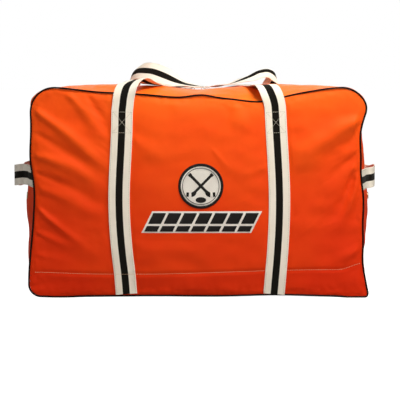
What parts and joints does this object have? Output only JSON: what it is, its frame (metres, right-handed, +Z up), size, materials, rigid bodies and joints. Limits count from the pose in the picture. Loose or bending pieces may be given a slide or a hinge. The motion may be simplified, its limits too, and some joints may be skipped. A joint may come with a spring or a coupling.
{
  "type": "hockey equipment bag",
  "caption": "Large rectangular soft sports bag with a zipped top, piped seams, striped webbing carry handles and grab loops on the ends.",
  "frame": {"origin": "on the floor under the middle of the bag", "axes": "+X to the bag's right end as seen from the front, front panel faces -Y, +Z up"},
  "size_m": [0.9154, 0.4139, 0.5591],
  "materials": {
    "orange_vinyl": "vinyl-coated woven polyester, slight satin sheen",
    "piping_black": "vinyl-covered welt cord",
    "striped_webbing": "woven cotton-like webbing, off-white with a black centre stripe",
    "zipper_tape": "woven polyester tape",
    "zipper_coil": "moulded coil",
    "nickel": "nickel-plated die casting",
    "brass": "plated brass, satin",
    "patch_white": "twill and embroidery",
    "patch_black": "twill and embroidery",
    "liner": "coated lining",
    "board": "corrugated plastic board"
  },
  "bodies": {
    "bag": {"front_panel": "orange_vinyl", "back_panel": "orange_vinyl", "left_end_panel": "orange_vinyl", "right_end_panel": "orange_vinyl", "bottom_panel": "orange_vinyl", "zipper_end_tab_left": "orange_vinyl", "zipper_end_tab_right": "orange_vinyl", "front_piping": "piping_black", "back_piping": "piping_black", "front_strap_left": "striped_webbing", "front_strap_right": "striped_webbing", "back_strap_left": "striped_webbing", "back_strap_right": "striped_webbing", "left_end_strap_front": "striped_webbing", "left_end_strap_back": "striped_webbing", "right_end_strap_front": "striped_webbing", "right_end_strap_back": "striped_webbing", "zipper_stop_left": "nickel", "zipper_stop_right": "nickel", "left_vent_eyelet_front": "brass", "left_vent_eyelet_back": "brass", "left_vent_washer_front": "brass", "left_vent_washer_back": "brass", "right_vent_eyelet_front": "brass", "right_vent_eyelet_back": "brass", "right_vent_washer_front": "brass", "right_vent_washer_back": "brass", "crest_patch": "patch_white", "bar_patch": "patch_black", "bottom_liner": "liner", "bottom_board": "board"},
    "top_flap_front": {"top_flap_front": "orange_vinyl", "zipper_tape_front": "zipper_tape", "zipper_coil_front": "zipper_coil"},
    "top_flap_back": {"top_flap_back": "orange_vinyl", "zipper_tape_back": "zipper_tape", "zipper_coil_back": "zipper_coil"},
    "front_handle": {"front_handle": "striped_webbing"},
    "back_handle": {"back_handle": "striped_webbing"},
    "left_end_handle": {"left_end_handle": "striped_webbing"},
    "right_end_handle": {"right_end_handle": "striped_webbing"},
    "slider_left": {"slider_left": "nickel"},
    "slider_right": {"slider_right": "nickel"},
    "pull_left": {"pull_left": "nickel"},
    "pull_right": {"pull_right": "nickel"}
  },
  "joints": [
    {"name": "unzip", "type": "hinge", "parent": "bag", "child": "top_flap_front", "pos_m": [0, -0.185, 0.474], "axis": [-1, 0, 0], "range_deg": [0, 75], "deforming": ["zipper_tape_front", "zipper_coil_front"]},
    {"name": "back_flap_fold", "type": "hinge", "parent": "bag", "child": "top_flap_back", "pos_m": [0, 0.185, 0.474], "axis": [1, 0, 0], "range_deg": [0, 75], "deforming": ["zipper_tape_back", "zipper_coil_back"]},
    {"name": "slider_left_run", "type": "slide", "parent": "bag", "child": "slider_left", "axis": [-0.9996, 0, 0.0292], "range_m": [0, 0.2701]},
    {"name": "slider_right_run", "type": "slide", "parent": "bag", "child": "slider_right", "axis": [0.9996, 0, 0.0292], "range_m": [0, 0.2701]},
    {"name": "pull_left_lift", "type": "hinge", "parent": "slider_left", "child": "pull_left", "pos_m": [-0.0135, 0, 0.49843], "axis": [0, 1, 0], "range_deg": [0, 100]},
    {"name": "pull_right_lift", "type": "hinge", "parent": "slider_right", "child": "pull_right", "pos_m": [0.0135, 0, 0.49843], "axis": [0, -1, 0], "range_deg": [0, 100]},
    {"name": "front_handle_swing", "type": "hinge", "parent": "bag", "child": "front_handle", "pos_m": [0, -0.196, 0.49014], "axis": [1, 0, 0], "range_deg": [0, 170]},
    {"name": "back_handle_swing", "type": "hinge", "parent": "bag", "child": "back_handle", "pos_m": [0, 0.196, 0.49014], "axis": [-1, 0, 0], "range_deg": [0, 170]},
    {"name": "left_end_handle_tilt", "type": "hinge", "parent": "bag", "child": "left_end_handle", "pos_m": [-0.4238, 0, 0.285], "axis": [0, 1, 0], "range_deg": [-20, 20]},
    {"name": "right_end_handle_tilt", "type": "hinge", "parent": "bag", "child": "right_end_handle", "pos_m": [0.4238, 0, 0.285], "axis": [0, -1, 0], "range_deg": [-20, 20]}
  ],
  "couplings": [
    {"joint": "back_flap_fold", "follows": "unzip", "ratio": 1},
    {"joint": "slider_left_run", "follows": "unzip", "m_per_rad": 0.20626},
    {"joint": "slider_right_run", "follows": "unzip", "m_per_rad": 0.20626}
  ]
}
